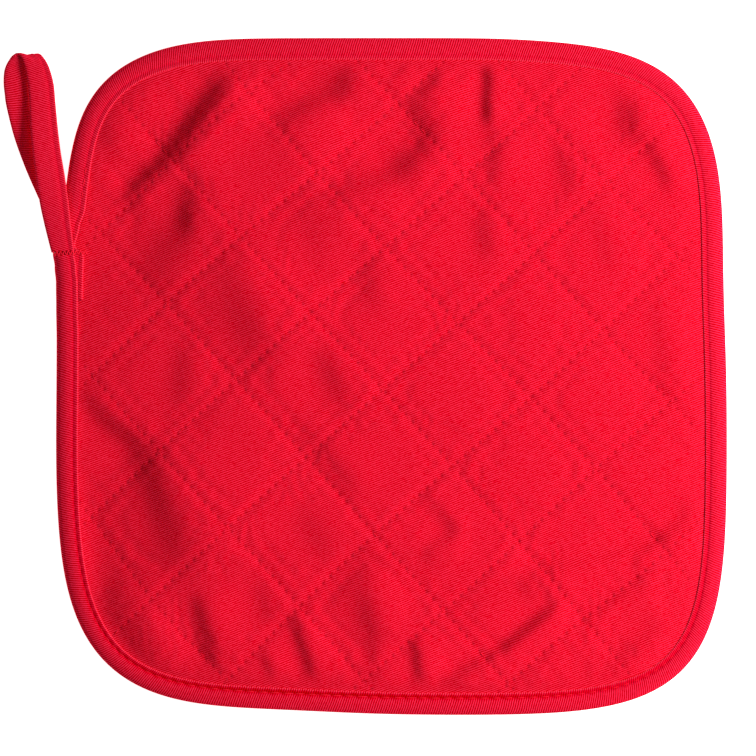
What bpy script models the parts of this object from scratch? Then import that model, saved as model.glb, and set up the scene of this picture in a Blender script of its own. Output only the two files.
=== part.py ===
# Quilted cloth pot holder with a folded tape edge and a hanging loop, lying face up

import math
from collections import namedtuple

import bmesh
import bpy
import numpy as np
from mathutils import Vector
from mathutils.geometry import delaunay_2d_cdt

# Driving sizes in millimetres; each point is turned into metres where a mesh is made
MM_TO_M = 0.001
HALF_WIDTH = 100.55
HALF_HEIGHT = 101.55
PAD_CENTRE_X = 7.75
CROWN_TOP = 7.6
SEAM_TOP = 5.4
SEAM_REACH_TOP = 5.5
SEAM_UNDER = 0.8
SEAM_REACH_UNDER = 4.0
SHOULDER_REACH = 5.0
SHOULDER_UNDER = 4.0
TAPE_THICK = 1.0
TAPE_WIDTH = 6.3
TAPE_FOLD = 2.4
EDGE_BOTTOM = 0.0
EDGE_TOP = 4.8
GAP = 0.32
STEP_BACK = 0.7
RIM_INSET = 1.9
RIM_ROUND = 1.2
RIM_HALF = 0.35
JOIN_BEARING = 159.8
JOIN_SLACK = 0.3
OVERLAP = 14.0
RIM_EASE_AHEAD = 8.0
RIM_EASE_RUN = 7.0
LOOP_THICK = 1.6
LOOP_CORNER = 0.45
SLOT_DEEP = 1.5
SLOT_HIGH = 0.3

# Exponents of the crown between the seams: over the whole diamond, and beside each seam
CROWN_FULLNESS = 0.6
SEAM_FLANK = 1.2

# Mesh steps in millimetres
RING_INSETS = (RIM_INSET, RIM_INSET + RIM_ROUND, TAPE_WIDTH + STEP_BACK, 9.6, 13.0)
RING_STEP = 8.0
EDGE_STEP = 7.6
JOIN_STEP = 2.6
JOIN_REACH = 30.0
DIRECTION_REACH = 1.5
SEAM_STEP = 5.4
SEAM_INSET = 7.8
SEAM_CLEAR = 2.4
FILL_STEP = 6.1
FILL_ROW = 5.3
FILL_CLEAR = 4.2
FILL_INSET = 15.0
OUTLINE_STEPS = 720
LOOP_SUBSTEPS = 3

# How square the outline is near each corner, as the exponent of its curve; bearings in degrees
Corner = namedtuple("Corner", "bearing exponent")
CORNERS = (Corner(45, 4.55), Corner(135, 4.75), Corner(225, 4.3), Corner(315, 4.85))

# Uneven spots of the outline: bearing and spread in degrees
Wave = namedtuple("Wave", "bearing outwards spread")
WAVES = (
    Wave(-113, -1.6, 17),
    Wave(-166, 0.2, 12),
    Wave(18, -1.0, 14),
    Wave(62, -0.4, 9),
    Wave(122, 0.5, 10),
    Wave(148, -1.4, 9),
)

# Quilting seams: bow is the offset at the middle, sway the offset at the quarters
Seam = namedtuple("Seam", "start_x start_y end_x end_y bow sway")
FALLING_SEAMS = (
    Seam(-84.0, -40.0, -40.5, -92.0, -1.6, 0.1),
    Seam(-84.3, 2.9, -0.5, -91.0, 0.2, -0.2),
    Seam(-83.0, 46.8, 40.3, -89.5, 0.7, 0.1),
    Seam(-73.0, 82.0, 79.0, -89.7, 1.3, -0.9),
    Seam(-42.0, 93.7, 97.5, -62.0, -0.1, -1.5),
    Seam(-2.5, 94.2, 101.0, -18.5, 0.0, 0.3),
    Seam(41.5, 92.0, 99.3, 29.0, -0.7, -0.5),
)
RISING_SEAMS = (
    Seam(-79.3, 43.5, -23.0, 93.6, 1.8, -0.6),
    Seam(-80.0, 2.0, 23.5, 94.6, 0.8, 0.7),
    Seam(-82.3, -42.0, 63.2, 91.4, 0.4, 0.6),
    Seam(-75.6, -77.3, 90.8, 76.0, -0.7, 0.8),
    Seam(-42.5, -91.8, 99.0, 42.2, 0.2, 1.4),
    Seam(1.0, -89.2, 100.0, 0.0, 0.0, -0.6),
    Seam(41.7, -92.6, 100.2, -42.2, -0.2, 0.6),
)

# Main creases of the face
Crease = namedtuple("Crease", "start_x start_y end_x end_y half_width depth")
CREASES = (
    Crease(-42, 90, -72, 52, 3.5, 1.3),
    Crease(-55, 54, -64, 28, 4.5, 0.9),
    Crease(-45, 33, -32, 12, 4.5, 0.9),
    Crease(-20, 7, -7, -9, 4.0, 0.7),
    Crease(-84, -9, -66, -22, 3.0, 0.8),
    Crease(-64, -31, -53, -54, 5.0, 1.0),
    Crease(-8, 91, -7, 82, 3.5, 0.8),
    Crease(-20, 81, -28, 76, 3.0, 0.7),
    Crease(36, 92, 36, 70, 2.5, 0.9),
    Crease(18, 86, 12, 64, 4.5, 0.7),
    Crease(77, 83, 79, 70, 3.0, 0.8),
    Crease(33, -83, 56, -68, 3.5, 1.0),
    Crease(15, -80, 15, -91, 2.5, 0.8),
    Crease(-23, -74, -17, -91, 3.0, 0.8),
    Crease(-55, -70, -46, -87, 4.0, 0.9),
    Crease(-73, -75, -62, -86, 4.5, 1.0),
    Crease(0, -56, 0, -82, 5.0, 0.7),
    Crease(73, -80, 94, -67, 5.0, 0.7),
    Crease(57, -61, 86, -51, 2.5, 0.6),
)

# The tape near its join: the beginning by the way gone from the join, clockwise, and the
# end by the way still left to the join. The end laps over the beginning
Lap = namedtuple("Lap", "way bottom top shift")
TAPE_START = (
    Lap(-14.0, 1.3, 5.3, -1.3),
    Lap(-1.0, 1.3, 5.3, -1.3),
    Lap(4.0, 2.0, 5.8, -0.9),
    Lap(16.0, 2.0, 5.8, -0.4),
    Lap(30.0, EDGE_BOTTOM, EDGE_TOP, 0.0),
)
TAPE_END = (
    Lap(0.0, EDGE_BOTTOM, 6.6, 1.3),
    Lap(4.0, EDGE_BOTTOM, 6.6, 0.6),
    Lap(9.0, EDGE_BOTTOM, 6.6, 0.1),
    Lap(15.5, EDGE_BOTTOM, 6.6, 0.0),
    Lap(26.0, EDGE_BOTTOM, EDGE_TOP, 0.0),
)

# The hanging loop's middle line and the turn of its width, angles in degrees
Station = namedtuple("Station", "x y height width yaw bank")
LOOP_STATIONS = (
    Station(-90.7, 37.7, 7.00, 6.8, -14, 0),
    Station(-91.6, 45.5, 7.00, 7.8, -14, 0),
    Station(-92.6, 51.5, 7.00, 8.6, -13, 0),
    Station(-94.3, 60.5, 6.30, 9.0, -10, 0),
    Station(-95.6, 68.0, 5.30, 8.6, -8, 0),
    Station(-96.5, 75.5, 4.50, 8.2, -5, 0),
    Station(-97.1, 83.0, 3.80, 7.8, -4, 0),
    Station(-97.6, 88.2, 3.40, 7.8, -5, 0),
    Station(-98.7, 92.8, 3.10, 7.7, -8, 4),
    Station(-99.9, 95.1, 2.70, 7.4, -8, 8),
    Station(-101.7, 96.1, 2.05, 7.3, 0, 10),
    Station(-103.6, 95.3, 1.40, 7.2, 8, 7),
    Station(-105.0, 92.6, 1.00, 7.2, 6, 2),
    Station(-105.2, 88.5, 0.86, 7.4, 0, 0),
    Station(-104.9, 84.5, 0.86, 7.4, -6, 0),
    Station(-104.4, 80.0, 0.86, 7.3, -12, 0),
    Station(-102.3, 71.0, 0.86, 7.2, -16, 0),
    Station(-99.3, 62.0, 0.86, 7.0, -19, 0),
    Station(-95.8, 53.5, 0.86, 6.6, -19, 0),
    Station(-92.4, 46.0, 0.86, 6.2, -18, 0),
    Station(-91.1, 42.6, 0.86, 6.0, -16, 0),
)

RED_CLOTH = (0.78, 0.008, 0.03, 1.0)
RED_TAPE = (0.74, 0.01, 0.035, 1.0)
CLOTH_ROUGHNESS = 0.9


def smooth_step(value):
    value = min(1.0, max(0.0, value))
    return value * value * (3.0 - 2.0 * value)


# The outline's radius from the pad's centre, for each bearing in radians
def outline_radius(bearing):
    weights = [max(0.0, math.cos(bearing - math.radians(corner.bearing))) ** 2 for corner in CORNERS]
    exponents = [corner.exponent for corner in CORNERS]
    exponent = np.average(exponents, weights=weights)
    across = abs(math.cos(bearing) / HALF_WIDTH) ** exponent
    along = abs(math.sin(bearing) / HALF_HEIGHT) ** exponent
    radius = (across + along) ** (-1.0 / exponent)
    for wave in WAVES:
        turn = (math.degrees(bearing) - wave.bearing + 180.0) % 360.0 - 180.0
        radius += wave.outwards * math.exp(-((turn / wave.spread) ** 2))
    return radius


# The outline walked clockwise from the join, with the way gone at each point
BEARINGS = math.radians(JOIN_BEARING) - np.linspace(0.0, 2.0 * math.pi, OUTLINE_STEPS + 1)
RADII = np.array([outline_radius(bearing) for bearing in BEARINGS])
OUTLINE = np.stack([PAD_CENTRE_X + RADII * np.cos(BEARINGS), RADII * np.sin(BEARINGS)], axis=1)
WAY = np.concatenate([[0.0], np.cumsum(np.linalg.norm(np.diff(OUTLINE, axis=0), axis=1))])
EDGE_LENGTH = WAY[-1]


# The outline point at a way along the edge, and the direction straight into the pad there
def edge_point(way):
    def at(distance):
        distance = distance % EDGE_LENGTH
        return np.array([np.interp(distance, WAY, OUTLINE[:, axis]) for axis in range(2)])

    along = at(way + DIRECTION_REACH) - at(way - DIRECTION_REACH)
    along /= np.linalg.norm(along)
    return at(way), np.array([along[1], -along[0]])


# Ways along the edge at even steps, closer together near the join
def edge_ways(first, last, step):
    ways = [first]
    while ways[-1] < last:
        to_join = min(abs(ways[-1]), abs(ways[-1] - EDGE_LENGTH))
        ways.append(ways[-1] + (JOIN_STEP if to_join < JOIN_REACH else step))
    stretch = (last - first) / (ways[-1] - first)
    return [first + (way - first) * stretch for way in ways]


# A lap row blended from the two rows on either side of a way
def blend_laps(table, way):
    if way <= table[0].way:
        return table[0][1:]
    for low, high in zip(table, table[1:]):
        if way <= high.way:
            share = smooth_step((way - low.way) / (high.way - low.way))
            return tuple(a + (b - a) * share for a, b in zip(low[1:], high[1:]))
    return table[-1][1:]


# Bottom, top and outward shift of the tape at a way along the edge
def tape_levels(way):
    left = EDGE_LENGTH - way
    if left < TAPE_END[-1].way:
        return blend_laps(TAPE_END, left)
    return blend_laps(TAPE_START, way)


# Bottom, top and outward shift of the pad's rim, which lies inside the tape all round
def rim_levels(way):
    way = way % EDGE_LENGTH
    signed = way - EDGE_LENGTH if way > EDGE_LENGTH / 2.0 else way
    bottom, top, shift = blend_laps(TAPE_START, signed)
    settle = smooth_step((signed + OVERLAP + RIM_EASE_AHEAD) / RIM_EASE_RUN)
    bottom = EDGE_BOTTOM + (bottom - EDGE_BOTTOM) * settle
    top = EDGE_TOP + (top - EDGE_TOP) * settle
    wall = TAPE_THICK + GAP + JOIN_SLACK * settle
    return bottom + wall, top - wall, shift * settle


# A named object from a bmesh, with its own material, in the collection
def add_object(collection, name, shape, colour):
    bmesh.ops.triangulate(shape, faces=shape.faces[:])
    bmesh.ops.recalc_face_normals(shape, faces=shape.faces[:])
    mesh = bpy.data.meshes.new(name)
    shape.to_mesh(mesh)
    shape.free()
    mesh.shade_smooth()
    made = bpy.data.objects.new(name, mesh)
    collection.objects.link(made)
    material = bpy.data.materials.new(name)
    material.use_nodes = True
    surface = material.node_tree.nodes["Principled BSDF"]
    surface.inputs["Base Color"].default_value = colour
    surface.inputs["Roughness"].default_value = CLOTH_ROUGHNESS
    mesh.materials.append(material)
    return made


# A solid through a row of unlike sections. Each is a closed loop of as many points, the second
# half running back opposite the first, so that a ladder of faces closes either end
def loft(sections):
    shape = bmesh.new()
    loops = []
    for section in sections:
        loops.append([shape.verts.new(Vector(point) * MM_TO_M) for point in section])
    count = len(loops[0])
    for first, second in zip(loops, loops[1:]):
        for index in range(count):
            after = (index + 1) % count
            shape.faces.new((first[index], first[after], second[after], second[index]))
    for loop in (loops[0], loops[-1]):
        for index in range(count // 2 - 1):
            opposite = count - 1 - index
            shape.faces.new((loop[index], loop[index + 1], loop[opposite - 1], loop[opposite]))
    return shape


# Section of the tape folded round the pad's rim
def tape_section(way):
    bottom, top, shift = tape_levels(way)
    point, inwards = edge_point(way)
    half = (top - bottom) / 2.0
    middle = bottom + half

    def place(inset, height):
        flat = point + inwards * (inset - shift)
        return flat[0], flat[1], height

    outer = [place(TAPE_WIDTH, top)]
    inner = [place(TAPE_WIDTH, top - TAPE_THICK)]
    for degrees in (90, 45, 0, -45, -90):
        rise = math.sin(math.radians(degrees))
        reach = 1.0 - math.cos(math.radians(degrees))
        outer.append(place(TAPE_FOLD * reach, middle + half * rise))
        inset = TAPE_THICK + (TAPE_FOLD - TAPE_THICK) * reach
        inner.append(place(inset, middle + (half - TAPE_THICK) * rise))
    outer.append(place(TAPE_WIDTH, bottom))
    inner.append(place(TAPE_WIDTH, bottom + TAPE_THICK))
    return outer + inner[::-1]


# Edge binding: one tape folded round the pad's rim, its end lapped over its beginning
def make_edge_binding(collection):
    ways = edge_ways(-OVERLAP, EDGE_LENGTH, EDGE_STEP)
    shape = loft([tape_section(way) for way in ways])
    return add_object(collection, "edge_binding", shape, RED_TAPE)


# The loop's stations with a smooth curve drawn through them
def loop_stations():
    rows = np.array(LOOP_STATIONS)
    padded = np.concatenate([[2 * rows[0] - rows[1]], rows, [2 * rows[-1] - rows[-2]]])
    stations = []
    for index in range(len(rows) - 1):
        before, here, there, beyond = padded[index : index + 4]
        bend = 2 * before - 5 * here + 4 * there - beyond
        swing = 3 * here - before - 3 * there + beyond
        for step in range(LOOP_SUBSTEPS):
            t = step / LOOP_SUBSTEPS
            stations.append(here + 0.5 * ((there - before) * t + bend * t**2 + swing * t**3))
    stations.append(rows[-1])
    return np.array(stations)


# Section of the tape folded shut, with a slot between its two free edges on one side
def loop_section(station, along):
    centre = station[:3]
    width, yaw, bank = station[3], math.radians(station[4]), math.radians(station[5])
    flat = math.cos(bank)
    across = np.array([math.cos(yaw) * flat, math.sin(yaw) * flat, -math.sin(bank)])
    normal = np.cross(across, along)
    normal /= np.linalg.norm(normal)
    side, thick, slot = width / 2.0, LOOP_THICK / 2.0, SLOT_HIGH / 2.0
    upper = (
        (side - SLOT_DEEP, slot),
        (side, slot),
        (side, thick - LOOP_CORNER / 2.0),
        (side - LOOP_CORNER, thick),
        (LOOP_CORNER - side, thick),
        (-side, thick - LOOP_CORNER),
    )
    lower = [(sideways, -up) for sideways, up in reversed(upper)]
    return [centre + across * sideways + normal * up for sideways, up in (*upper, *lower)]


# Hanging loop: the tape folded shut, up the front, over the turn and back beneath
def make_hanging_loop(collection):
    stations = loop_stations()
    along = np.gradient(stations[:, :3], axis=0)
    along /= np.linalg.norm(along, axis=1)[:, None]
    shape = loft([loop_section(station, way) for station, way in zip(stations, along)])
    return add_object(collection, "hanging_loop", shape, RED_TAPE)


# Points along a seam, a line with a gentle bow
def seam_points(seam, step):
    start = np.array((seam.start_x, seam.start_y))
    run = np.array((seam.end_x, seam.end_y)) - start
    length = np.linalg.norm(run)
    side = np.array([-run[1], run[0]]) / length
    share = np.linspace(0.0, 1.0, max(2, int(length / step)) + 1)[:, None]
    offset = seam.bow * np.sin(math.pi * share) + seam.sway * np.sin(2.0 * math.pi * share)
    return start + run * share + side * offset


def distance_to_piece(spots, first, second):
    run = second - first
    share = np.clip(((spots - first) @ run) / (run @ run), 0.0, 1.0)
    return np.linalg.norm(spots - first - share[:, None] * run, axis=1)


def distance_to_seams(spots, seams):
    nearest = np.full(len(spots), np.inf)
    for seam in seams:
        line = seam_points(seam, 2.0 * SEAM_STEP)
        for first, second in zip(line, line[1:]):
            nearest = np.minimum(nearest, distance_to_piece(spots, first, second))
    return nearest


# How far each spot lies inside the outline, and the way along the edge nearest to it
def inset_and_way(spots):
    gaps = np.linalg.norm(OUTLINE[None, :, :] - spots[:, None, :], axis=2)
    nearest = gaps.argmin(axis=1)
    inset = gaps[np.arange(len(spots)), nearest]
    turned = spots - (PAD_CENTRE_X, 0.0)
    outline_there = np.linalg.norm(OUTLINE[nearest] - (PAD_CENTRE_X, 0.0), axis=1)
    outside = np.linalg.norm(turned, axis=1) > outline_there
    return np.where(outside, -inset, inset), WAY[nearest]


# The pad's flat pattern: rings along the rim, then points on the seams, then an even fill
def pad_pattern():
    ways = edge_ways(0.0, EDGE_LENGTH, RING_STEP)[:-1]
    count = len(ways)
    spots = []
    for ring_inset in RING_INSETS:
        for way in ways:
            point, inwards = edge_point(way)
            spots.append(point + inwards * (ring_inset - rim_levels(way)[2]))
    ring_edges = [
        (ring * count + step, ring * count + (step + 1) % count)
        for ring in range(1, len(RING_INSETS))
        for step in range(count)
    ]

    def add_where_free(candidates, least_inset, least_gap):
        for candidate, inset in zip(candidates, inset_and_way(candidates)[0]):
            gap = np.linalg.norm(np.array(spots) - candidate, axis=1).min()
            if inset > least_inset and gap > least_gap:
                spots.append(candidate)

    for seam in FALLING_SEAMS + RISING_SEAMS:
        add_where_free(seam_points(seam, SEAM_STEP), SEAM_INSET, SEAM_CLEAR)
    for row, y in enumerate(np.arange(-HALF_HEIGHT, HALF_HEIGHT, FILL_ROW)):
        xs = PAD_CENTRE_X + np.arange(-HALF_WIDTH, HALF_WIDTH, FILL_STEP) + FILL_STEP / 2.0 * (row % 2)
        add_where_free(np.stack([xs, np.full(len(xs), y)], axis=1), FILL_INSET, FILL_CLEAR)
    return np.array(spots), list(range(count)), ring_edges


# Heights of the pad's face and underside over each spot of the pattern
def pad_heights(spots):
    inset, ways = inset_and_way(spots)
    rim_bottom, rim_top, shift = np.array([rim_levels(way) for way in ways]).T
    inset = inset + shift
    to_falling = distance_to_seams(spots, FALLING_SEAMS)
    to_rising = distance_to_seams(spots, RISING_SEAMS)
    rise_falling = 1.0 - np.exp(-((to_falling / SEAM_REACH_TOP) ** SEAM_FLANK))
    rise_rising = 1.0 - np.exp(-((to_rising / SEAM_REACH_TOP) ** SEAM_FLANK))
    face = SEAM_TOP + (CROWN_TOP - SEAM_TOP) * (rise_falling * rise_rising) ** CROWN_FULLNESS
    for crease in CREASES:
        start = np.array((crease.start_x, crease.start_y))
        end = np.array((crease.end_x, crease.end_y))
        away = distance_to_piece(spots, start, end)
        face -= crease.depth * np.exp(-((away / crease.half_width) ** 2))
    past_tape = np.clip(inset - TAPE_WIDTH - STEP_BACK, 0.0, None)
    face = rim_top + (face - rim_top) * (1.0 - np.exp(-past_tape / SHOULDER_REACH))
    to_seam = np.minimum(to_falling, to_rising)
    under = SEAM_UNDER * np.clip(1.0 - to_seam / SEAM_REACH_UNDER, 0.0, None)
    lifted = np.clip(1.0 - past_tape / SHOULDER_UNDER, 0.0, 1.0)
    under = under * (1.0 - lifted) + rim_bottom * lifted
    at_rim = np.clip((RIM_INSET + RIM_ROUND - inset) / RIM_ROUND, 0.0, 1.0)
    middle = (rim_bottom + rim_top) / 2.0
    face += (middle + RIM_HALF - face) * at_rim
    under += (middle - RIM_HALF - under) * at_rim
    return face, under


# Quilted pad: the flat pattern filled with triangles, doubled, and raised to its heights
def make_quilted_pad(collection):
    spots, rim, ring_edges = pad_pattern()
    filled = delaunay_2d_cdt([Vector(spot) for spot in spots], ring_edges, [rim], 1, 1e-6)
    points, faces = filled[0], filled[2]
    spots = np.array([(point.x, point.y) for point in points])
    face, under = pad_heights(spots)
    shape = bmesh.new()
    spot_number = shape.verts.layers.int.new("spot_number")
    upper = []
    for number, (spot, height) in enumerate(zip(spots, face)):
        vertex = shape.verts.new(Vector((*spot, height)) * MM_TO_M)
        vertex[spot_number] = number
        upper.append(vertex)
    for corners in faces:
        shape.faces.new([upper[corner] for corner in corners])
    doubled = bmesh.ops.extrude_face_region(shape, geom=shape.faces[:])
    for item in doubled["geom"]:
        if isinstance(item, bmesh.types.BMVert):
            item.co.z = under[item[spot_number]] * MM_TO_M
    return add_object(collection, "quilted_pad", shape, RED_CLOTH)


for old in list(bpy.data.objects):
    bpy.data.objects.remove(old, do_unlink=True)
pot_holder = bpy.data.collections.new("pot_holder")
bpy.context.scene.collection.children.link(pot_holder)
make_quilted_pad(pot_holder)
make_edge_binding(pot_holder)
make_hanging_loop(pot_holder)
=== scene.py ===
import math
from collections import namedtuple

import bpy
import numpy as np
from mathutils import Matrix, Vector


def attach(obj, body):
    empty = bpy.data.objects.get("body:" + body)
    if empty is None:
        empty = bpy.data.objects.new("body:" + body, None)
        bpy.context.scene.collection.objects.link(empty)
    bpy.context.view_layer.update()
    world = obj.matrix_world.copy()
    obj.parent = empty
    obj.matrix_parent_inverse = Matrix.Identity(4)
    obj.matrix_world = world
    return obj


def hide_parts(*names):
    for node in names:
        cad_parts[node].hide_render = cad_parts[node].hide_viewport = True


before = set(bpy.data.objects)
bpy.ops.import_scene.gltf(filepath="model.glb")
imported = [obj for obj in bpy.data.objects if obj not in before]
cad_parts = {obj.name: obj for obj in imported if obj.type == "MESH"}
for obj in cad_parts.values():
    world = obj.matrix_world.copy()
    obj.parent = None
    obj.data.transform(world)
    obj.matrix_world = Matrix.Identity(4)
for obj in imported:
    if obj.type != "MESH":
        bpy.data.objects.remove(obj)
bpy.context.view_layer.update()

# %% [markdown]
# # A quilted pot holder in red cotton twill
# The real pot holder is two squares of twill with a thick filling between them. It is sewn
# together along slanting seams, and one folded tape closes its edge and ends as a hanging loop.
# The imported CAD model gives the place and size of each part. Here each part is made again as
# cloth: the pad, the tape, the loop, and the thread that holds them.

MM = 0.001

# %% [markdown]
# ## The outline
# The pad is a square with round corners, cut by hand, so no two corners are alike. A circle in
# each corner would look too regular. The outline is one curve whose squareness changes from
# corner to corner, with a few soft dents and bulges. It is worked out for any bearing from the
# middle.

# %% Curve of the outline
HALF_WIDTH = 100.55
HALF_HEIGHT = 101.55
PAD_CENTRE = np.array((7.75, 0.0))
Corner = namedtuple("Corner", "bearing exponent")
CORNERS = (Corner(45, 4.55), Corner(135, 4.75), Corner(225, 4.3), Corner(315, 4.85))
Wave = namedtuple("Wave", "bearing outwards spread")
WAVES = (
    Wave(-113, -1.6, 17),
    Wave(-166, 0.2, 12),
    Wave(18, -1.0, 14),
    Wave(62, -0.4, 9),
    Wave(122, 0.5, 10),
    Wave(148, -1.4, 9),
)


def bell(value, width):
    """1 where the value is 0, falling away softly over the width."""
    return np.exp(-((value / width) ** 2))


def outline_radius(bearing):
    """Millimetres from the middle to the outline, for an array of bearings in radians."""
    corners = np.array(CORNERS)
    weights = np.clip(np.cos(bearing[..., None] - np.radians(corners[:, 0])), 0, None) ** 2
    exponent = (weights * corners[:, 1]).sum(-1) / weights.sum(-1)
    across = np.abs(np.cos(bearing) / HALF_WIDTH) ** exponent
    along = np.abs(np.sin(bearing) / HALF_HEIGHT) ** exponent
    radius = (across + along) ** (-1.0 / exponent)
    for wave in WAVES:
        turn = (np.degrees(bearing) - wave.bearing + 180.0) % 360.0 - 180.0
        radius = radius + wave.outwards * bell(turn, wave.spread)
    return radius


print("corners:", len(CORNERS), "soft dents and bulges:", len(WAVES))

# %% [markdown]
# ## The way round the edge
# The tape is measured by the way gone along the edge, clockwise from the join where the loop
# leaves it. The bearing could serve instead, but ribs and stitches would then stand wider apart
# in the corners. With the outline walked once, any way gives a place and the direction inwards.

# %% Walk round the outline
JOIN_BEARING = 159.8
OUTLINE_STEPS = 2880
DIRECTION_REACH = 1.5
bearings = math.radians(JOIN_BEARING) - np.linspace(0.0, 2.0 * math.pi, OUTLINE_STEPS + 1)
outline = PAD_CENTRE + outline_radius(bearings)[:, None] * np.stack(
    [np.cos(bearings), np.sin(bearings)], axis=1
)
way_gone = np.concatenate([[0.0], np.cumsum(np.linalg.norm(np.diff(outline, axis=0), axis=1))])
EDGE_LENGTH = way_gone[-1]


def edge_place(way):
    """The outline at each way, and the directions along the edge and into the pad there."""

    def at(distance):
        distance = distance % EDGE_LENGTH
        return np.stack([np.interp(distance, way_gone, outline[:, axis]) for axis in (0, 1)], 1)

    along = at(way + DIRECTION_REACH) - at(way - DIRECTION_REACH)
    along /= np.linalg.norm(along, axis=1)[:, None]
    return at(way), along, np.stack([along[:, 1], -along[:, 0]], 1)


print("way round the edge in mm:", round(EDGE_LENGTH, 1))

# %% [markdown]
# ## The quilting seams
# Seven seams fall to the right and seven rise, sewn by eye, so each one bows a little. They could
# be lines drawn on the mesh, but then the pad, its material and its stitches would each need
# their own. Here a seam is a row of a table: its two ends, its bow at the middle and its sway at
# the quarters. The way along it and the distance from it are worked out wherever they are needed.

# %% Table of seams
Seam = namedtuple("Seam", "start_x start_y end_x end_y bow sway")
FALLING_SEAMS = (
    Seam(-84.0, -40.0, -40.5, -92.0, -1.6, 0.1),
    Seam(-84.3, 2.9, -0.5, -91.0, 0.2, -0.2),
    Seam(-83.0, 46.8, 40.3, -89.5, 0.7, 0.1),
    Seam(-73.0, 82.0, 79.0, -89.7, 1.3, -0.9),
    Seam(-42.0, 93.7, 97.5, -62.0, -0.1, -1.5),
    Seam(-2.5, 94.2, 101.0, -18.5, 0.0, 0.3),
    Seam(41.5, 92.0, 99.3, 29.0, -0.7, -0.5),
)
RISING_SEAMS = (
    Seam(-79.3, 43.5, -23.0, 93.6, 1.8, -0.6),
    Seam(-80.0, 2.0, 23.5, 94.6, 0.8, 0.7),
    Seam(-82.3, -42.0, 63.2, 91.4, 0.4, 0.6),
    Seam(-75.6, -77.3, 90.8, 76.0, -0.7, 0.8),
    Seam(-42.5, -91.8, 99.0, 42.2, 0.2, 1.4),
    Seam(1.0, -89.2, 100.0, 0.0, 0.0, -0.6),
    Seam(41.7, -92.6, 100.2, -42.2, -0.2, 0.6),
)


def straight_line(row):
    """Start of a row's line, its run to the end, its length and the direction to its left."""
    start = np.array((row.start_x, row.start_y), float)
    run = np.array((row.end_x, row.end_y)) - start
    length = np.linalg.norm(run)
    return start, run, length, np.array((-run[1], run[0])) / length


def off_straight(seam, share):
    """How far the sewn line stands to the left of the straight one, by the share of its run."""
    return seam.bow * np.sin(math.pi * share) + seam.sway * np.sin(2.0 * math.pi * share)


def beside_seam(seam, spots):
    """Way along the seam and signed distance from it, for an array of spots."""
    start, run, length, side = straight_line(seam)
    share = ((spots - start) @ run) / length**2
    return share * length, (spots - start) @ side - off_straight(seam, share)


def seam_places(seam, ways):
    """Spots on the seam at each way along it."""
    start, run, length, side = straight_line(seam)
    share = ways[:, None] / length
    return start + run * share + side * off_straight(seam, share)


print("seams:", len(FALLING_SEAMS), "falling,", len(RISING_SEAMS), "rising")

# %% [markdown]
# ## A grid that fits the outline
# The pad is one smooth sheet above and one below. Rings round the middle would crowd thin faces
# there, so a square grid is pushed into the outline along rays from the middle. Its border is the
# pad's rim, its cells stay nearly square, and the same grid serves the face and the underside.

# %% Grid of spots
RIM_INSET = 2.3
COARSE_CELLS = 84
SMALL_TURN = 0.01


def grid_spots(cells):
    """Spots in millimetres, in rows and columns, one more each way than there are cells."""
    steps = np.linspace(-1.0, 1.0, cells + 1)
    across, along = np.meshgrid(steps, steps)
    share = np.maximum(np.abs(across), np.abs(along))
    bearing = np.arctan2(along, across)
    reach = (outline_radius(bearing) - RIM_INSET) * share
    return np.stack([np.cos(bearing) * reach, np.sin(bearing) * reach], -1) + PAD_CENTRE


def inset_of(spots):
    """Distance of each spot inside the outline, measured square to the edge near it."""
    turned = spots - PAD_CENTRE
    bearing = np.arctan2(turned[..., 1], turned[..., 0])
    change = outline_radius(bearing + SMALL_TURN) - outline_radius(bearing - SMALL_TURN)
    radius = outline_radius(bearing)
    slant = radius / np.hypot(radius, change / (2.0 * SMALL_TURN))
    return (radius - np.linalg.norm(turned, axis=-1)) * slant


coarse_spots = grid_spots(COARSE_CELLS)
print("coarse grid cell in mm:", round(2 * HALF_WIDTH / COARSE_CELLS, 2))

# %% Nearest seam of each spot


def nearest_seam(spots, seams):
    """Index of the nearest seam, the way along it and the distance from it."""
    ways, gaps = zip(*(beside_seam(seam, spots) for seam in seams))
    gaps = np.array(gaps)
    nearest = np.abs(gaps).argmin(0)
    return (
        nearest,
        np.take_along_axis(np.array(ways), nearest[None], 0)[0],
        np.take_along_axis(gaps, nearest[None], 0)[0],
    )


def nearest_gap(spots):
    """Distance to the nearest of all the seams."""
    gaps = (np.abs(nearest_seam(spots, seams)[2]) for seams in (FALLING_SEAMS, RISING_SEAMS))
    return np.minimum(*gaps)


print("furthest spot from a seam in mm:", round(float(nearest_gap(coarse_spots).max()), 1))

# %% A closed pad from two grids


def grid_faces(cells, offset=0, turned=False):
    """Corner numbers of a grid's cells."""
    number = np.arange((cells + 1) ** 2).reshape(cells + 1, cells + 1) + offset
    corners = [number[:-1, :-1], number[:-1, 1:], number[1:, 1:], number[1:, :-1]]
    faces = np.stack([corner.ravel() for corner in corners], 1)
    return faces[:, ::-1] if turned else faces


def grid_border(cells):
    """Numbers of the border spots, walked once round."""
    number = np.arange((cells + 1) ** 2).reshape(cells + 1, cells + 1)
    return np.concatenate([number[0, :-1], number[:-1, -1], number[-1, :0:-1], number[:0:-1, 0]])


def closed_pad(cells, spots, face, under):
    """Points and faces of a pad, its face and underside joined along the border."""
    count = (cells + 1) ** 2
    flat = spots.reshape(-1, 2)
    upper = np.column_stack([flat, face.ravel()])
    lower = np.column_stack([flat, under.ravel()])
    border = grid_border(cells)
    after = np.roll(border, -1)
    wall = np.stack([border, border + count, after + count, after], 1)
    faces = np.concatenate([grid_faces(cells), grid_faces(cells, count, turned=True), wall])
    return np.concatenate([upper, lower]), faces


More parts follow.
